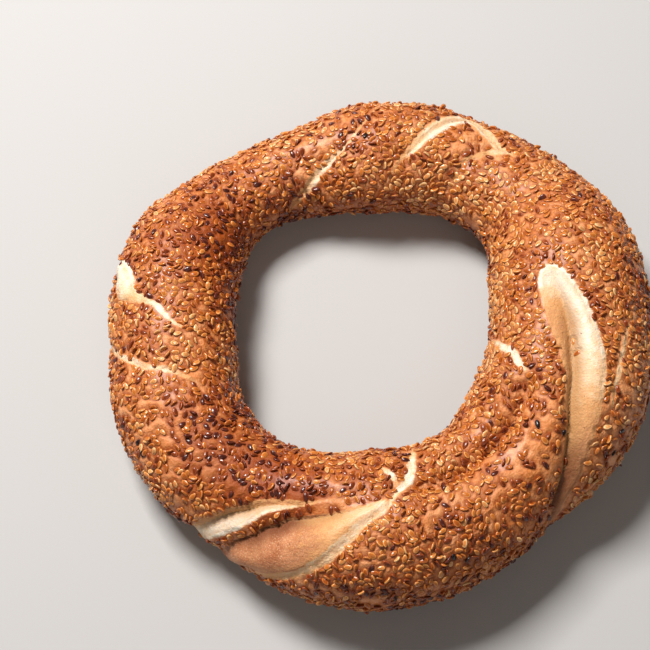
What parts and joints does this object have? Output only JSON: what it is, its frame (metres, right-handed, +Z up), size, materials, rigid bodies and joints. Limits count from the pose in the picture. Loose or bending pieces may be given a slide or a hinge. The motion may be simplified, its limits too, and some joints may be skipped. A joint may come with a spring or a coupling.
{
  "type": "simit",
  "caption": "Ring of twisted bread dough with split seams and a sesame seed crust, lying flat on its baked underside.",
  "frame": {"origin": "middle of the footprint box, on the flat underside", "axes": "+Z up through the hole, from the underside to the seeded top; -Y towards the thick side of the ring"},
  "size_m": [0.17, 0.1678, 0.0399],
  "materials": {
    "sesame_crust": "baked bread crust, matte with a slight gloss, coated with toasted sesame seeds"
  },
  "bodies": {
    "root": {"simit_ring": "sesame_crust"}
  },
  "joints": []
}
